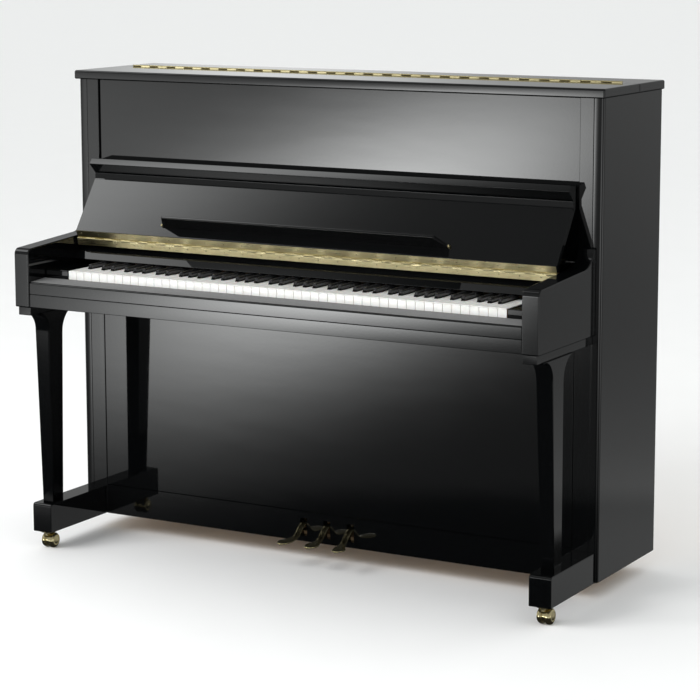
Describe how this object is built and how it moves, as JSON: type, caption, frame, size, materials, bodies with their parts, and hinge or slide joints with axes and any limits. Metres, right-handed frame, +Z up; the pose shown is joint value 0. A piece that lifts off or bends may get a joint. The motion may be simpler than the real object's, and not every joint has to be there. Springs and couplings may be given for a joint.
{
  "type": "upright piano",
  "caption": "Tall glossy black upright piano with a full keyboard, tapered front legs on caster toes, leaning fallboard with music shelf, folding lid and brass pedals.",
  "frame": {"origin": "on the floor under the middle of the piano's box", "axes": "+Z up, +X towards the treble end, keyboard facing -Y"},
  "size_m": [1.492, 0.662, 1.2246],
  "materials": {
    "black_polish": "high-gloss black polyester over wood",
    "white_key": "glossy white key covering over a wooden key",
    "black_key": "satin black key cap over a wooden key",
    "brass": "polished and lacquered",
    "raw_wood": "bare hardwood",
    "spruce": "clear-varnished spruce",
    "gilt_iron": "bronze-painted casting",
    "steel": "drawn wire and plated pins",
    "hammer_felt": "white felt on maple",
    "mute_felt": "wool felt"
  },
  "bodies": {
    "case": {"side_left": "black_polish", "side_right": "black_polish", "lid_rear": "black_polish", "lid_hinge_rear": "brass", "upper_panel": "black_polish", "lower_panel": "black_polish", "bottom_rail": "black_polish", "front_stiles": "black_polish", "cheek_left": "black_polish", "cheek_right": "black_polish", "front_legs": "black_polish", "toe_blocks": "black_polish", "bottom_board": "raw_wood", "key_bed": "black_polish", "key_slip": "black_polish", "key_blocks": "black_polish", "key_frame": "raw_wood", "nameboard": "black_polish", "fallboard_hinge_fixed": "brass", "rear_caster_bodies": "brass", "back_frame": "raw_wood", "soundboard": "spruce", "iron_plate": "gilt_iron", "strings": "steel", "tuning_pins": "steel", "action_frame": "raw_wood"},
    "lid": {"lid_front": "black_polish", "lid_hinge_front": "brass"},
    "fallboard": {"fallboard_panel": "black_polish", "fallboard_rail": "black_polish", "fallboard_hinge_moving": "brass", "shelf_brackets": "brass"},
    "music_shelf": {"music_shelf": "black_polish"},
    "front_caster_left": {"front_caster_left": "brass"},
    "front_wheels_left": {"front_wheels_left": "brass"},
    "front_caster_right": {"front_caster_right": "brass"},
    "front_wheels_right": {"front_wheels_right": "brass"},
    "rear_wheels_left": {"rear_wheels_left": "brass"},
    "rear_wheels_right": {"rear_wheels_right": "brass"},
    "keys_c": {"keys_c": "white_key"},
    "keys_c_sharp": {"keys_c_sharp": "black_key"},
    "keys_d": {"keys_d": "white_key"},
    "keys_d_sharp": {"keys_d_sharp": "black_key"},
    "keys_e": {"keys_e": "white_key"},
    "keys_f": {"keys_f": "white_key"},
    "keys_f_sharp": {"keys_f_sharp": "black_key"},
    "keys_g": {"keys_g": "white_key"},
    "keys_g_sharp": {"keys_g_sharp": "black_key"},
    "keys_a": {"keys_a": "white_key"},
    "keys_a_sharp": {"keys_a_sharp": "black_key"},
    "keys_b": {"keys_b": "white_key"},
    "pedal_left": {"pedal_left": "brass"},
    "pedal_middle": {"pedal_middle": "brass"},
    "pedal_right": {"pedal_right": "brass"},
    "pedal_rod_left": {"pedal_rod_left": "raw_wood"},
    "pedal_rod_middle": {"pedal_rod_middle": "raw_wood"},
    "pedal_rod_right": {"pedal_rod_right": "raw_wood"},
    "hammers": {"hammers": "hammer_felt"},
    "dampers": {"dampers": "hammer_felt"},
    "mute_rail": {"mute_rail": "mute_felt"}
  },
  "joints": [
    {"name": "lid_fold", "type": "hinge", "parent": "case", "child": "lid", "pos_m": [0, 0.173, 1.2226], "axis": [-1, 0, 0], "range_deg": [0, 178]},
    {"name": "fallboard_fold", "type": "hinge", "parent": "case", "child": "fallboard", "pos_m": [0, -0.1294, 0.797], "axis": [1, 0, 0], "range_deg": [0, 131]},
    {"name": "music_shelf_fold", "type": "hinge", "parent": "fallboard", "child": "music_shelf", "pos_m": [0, -0.1212, 0.84489], "axis": [1, 0, 0], "range_deg": [-90, 0]},
    {"name": "front_caster_left_swivel", "type": "hinge", "parent": "case", "child": "front_caster_left", "pos_m": [-0.705, -0.239, 0.047], "axis": [0, 0, 1], "continuous": true},
    {"name": "front_wheels_left_roll", "type": "hinge", "parent": "front_caster_left", "child": "front_wheels_left", "pos_m": [-0.705, -0.231, 0.0195], "axis": [1, 0, 0], "continuous": true},
    {"name": "front_caster_right_swivel", "type": "hinge", "parent": "case", "child": "front_caster_right", "pos_m": [0.705, -0.239, 0.047], "axis": [0, 0, 1], "continuous": true},
    {"name": "front_wheels_right_roll", "type": "hinge", "parent": "front_caster_right", "child": "front_wheels_right", "pos_m": [0.705, -0.231, 0.0195], "axis": [1, 0, 0], "continuous": true},
    {"name": "rear_wheels_left_roll", "type": "hinge", "parent": "case", "child": "rear_wheels_left", "pos_m": [-0.64, 0.29, 0.0195], "axis": [1, 0, 0], "continuous": true},
    {"name": "rear_wheels_right_roll", "type": "hinge", "parent": "case", "child": "rear_wheels_right", "pos_m": [0.64, 0.29, 0.0195], "axis": [1, 0, 0], "continuous": true},
    {"name": "keys_c_press", "type": "hinge", "parent": "case", "child": "keys_c", "pos_m": [0, -0.03, 0.711], "axis": [1, 0, 0], "range_deg": [0, 2.5], "stiffness_Nm_per_rad": 3, "springref_deg": -17.19},
    {"name": "keys_c_sharp_press", "type": "hinge", "parent": "case", "child": "keys_c_sharp", "pos_m": [0, -0.03, 0.711], "axis": [1, 0, 0], "range_deg": [0, 2.5], "stiffness_Nm_per_rad": 3, "springref_deg": -17.19},
    {"name": "keys_d_press", "type": "hinge", "parent": "case", "child": "keys_d", "pos_m": [0, -0.03, 0.711], "axis": [1, 0, 0], "range_deg": [0, 2.5], "stiffness_Nm_per_rad": 3, "springref_deg": -17.19},
    {"name": "keys_d_sharp_press", "type": "hinge", "parent": "case", "child": "keys_d_sharp", "pos_m": [0, -0.03, 0.711], "axis": [1, 0, 0], "range_deg": [0, 2.5], "stiffness_Nm_per_rad": 3, "springref_deg": -17.19},
    {"name": "keys_e_press", "type": "hinge", "parent": "case", "child": "keys_e", "pos_m": [0, -0.03, 0.711], "axis": [1, 0, 0], "range_deg": [0, 2.5], "stiffness_Nm_per_rad": 3, "springref_deg": -17.19},
    {"name": "keys_f_press", "type": "hinge", "parent": "case", "child": "keys_f", "pos_m": [0, -0.03, 0.711], "axis": [1, 0, 0], "range_deg": [0, 2.5], "stiffness_Nm_per_rad": 3, "springref_deg": -17.19},
    {"name": "keys_f_sharp_press", "type": "hinge", "parent": "case", "child": "keys_f_sharp", "pos_m": [0, -0.03, 0.711], "axis": [1, 0, 0], "range_deg": [0, 2.5], "stiffness_Nm_per_rad": 3, "springref_deg": -17.19},
    {"name": "keys_g_press", "type": "hinge", "parent": "case", "child": "keys_g", "pos_m": [0, -0.03, 0.711], "axis": [1, 0, 0], "range_deg": [0, 2.5], "stiffness_Nm_per_rad": 3, "springref_deg": -17.19},
    {"name": "keys_g_sharp_press", "type": "hinge", "parent": "case", "child": "keys_g_sharp", "pos_m": [0, -0.03, 0.711], "axis": [1, 0, 0], "range_deg": [0, 2.5], "stiffness_Nm_per_rad": 3, "springref_deg": -17.19},
    {"name": "keys_a_press", "type": "hinge", "parent": "case", "child": "keys_a", "pos_m": [0, -0.03, 0.711], "axis": [1, 0, 0], "range_deg": [0, 2.5], "stiffness_Nm_per_rad": 3, "springref_deg": -17.19},
    {"name": "keys_a_sharp_press", "type": "hinge", "parent": "case", "child": "keys_a_sharp", "pos_m": [0, -0.03, 0.711], "axis": [1, 0, 0], "range_deg": [0, 2.5], "stiffness_Nm_per_rad": 3, "springref_deg": -17.19},
    {"name": "keys_b_press", "type": "hinge", "parent": "case", "child": "keys_b", "pos_m": [0, -0.03, 0.711], "axis": [1, 0, 0], "range_deg": [0, 2.5], "stiffness_Nm_per_rad": 3, "springref_deg": -17.19},
    {"name": "pedal_left_press", "type": "hinge", "parent": "case", "child": "pedal_left", "pos_m": [0, 0.04, 0.1], "axis": [1, 0, 0], "range_deg": [0, 7], "stiffness_Nm_per_rad": 20, "springref_deg": -11.46},
    {"name": "pedal_middle_press", "type": "hinge", "parent": "case", "child": "pedal_middle", "pos_m": [0, 0.08, 0.1], "axis": [1, 0, 0], "range_deg": [0, 6], "stiffness_Nm_per_rad": 20, "springref_deg": -11.46},
    {"name": "pedal_right_press", "type": "hinge", "parent": "case", "child": "pedal_right", "pos_m": [0, 0.12, 0.1], "axis": [1, 0, 0], "range_deg": [0, 5.2], "stiffness_Nm_per_rad": 20, "springref_deg": -11.46},
    {"name": "pedal_rod_left_lift", "type": "slide", "parent": "case", "child": "pedal_rod_left", "axis": [0, 0, 1], "range_m": [0, 0.007]},
    {"name": "pedal_rod_middle_lift", "type": "slide", "parent": "case", "child": "pedal_rod_middle", "axis": [0, 0, 1], "range_m": [0, 0.007]},
    {"name": "pedal_rod_right_lift", "type": "slide", "parent": "case", "child": "pedal_rod_right", "axis": [0, 0, 1], "range_m": [0, 0.007]},
    {"name": "hammer_rail_swing", "type": "hinge", "parent": "case", "child": "hammers", "pos_m": [0, 0.098, 0.88], "axis": [-1, 0, 0], "range_deg": [0, 8]},
    {"name": "damper_rail_swing", "type": "hinge", "parent": "case", "child": "dampers", "pos_m": [0, 0.128, 0.815], "axis": [1, 0, 0], "range_deg": [0, 5.2]},
    {"name": "mute_rail_drop", "type": "slide", "parent": "case", "child": "mute_rail", "axis": [0, 0, -1], "range_m": [0, 0.035]}
  ],
  "couplings": [
    {"joint": "music_shelf_fold", "follows": "fallboard_fold", "ratio": -0.687},
    {"joint": "pedal_rod_left_lift", "follows": "pedal_left_press", "m_per_rad": 0.045},
    {"joint": "pedal_rod_middle_lift", "follows": "pedal_middle_press", "m_per_rad": 0.045},
    {"joint": "pedal_rod_right_lift", "follows": "pedal_right_press", "m_per_rad": 0.045},
    {"joint": "hammer_rail_swing", "follows": "pedal_left_press", "ratio": 1.1},
    {"joint": "damper_rail_swing", "follows": "pedal_right_press", "ratio": 0.95},
    {"joint": "mute_rail_drop", "follows": "pedal_middle_press", "m_per_rad": 0.32}
  ]
}
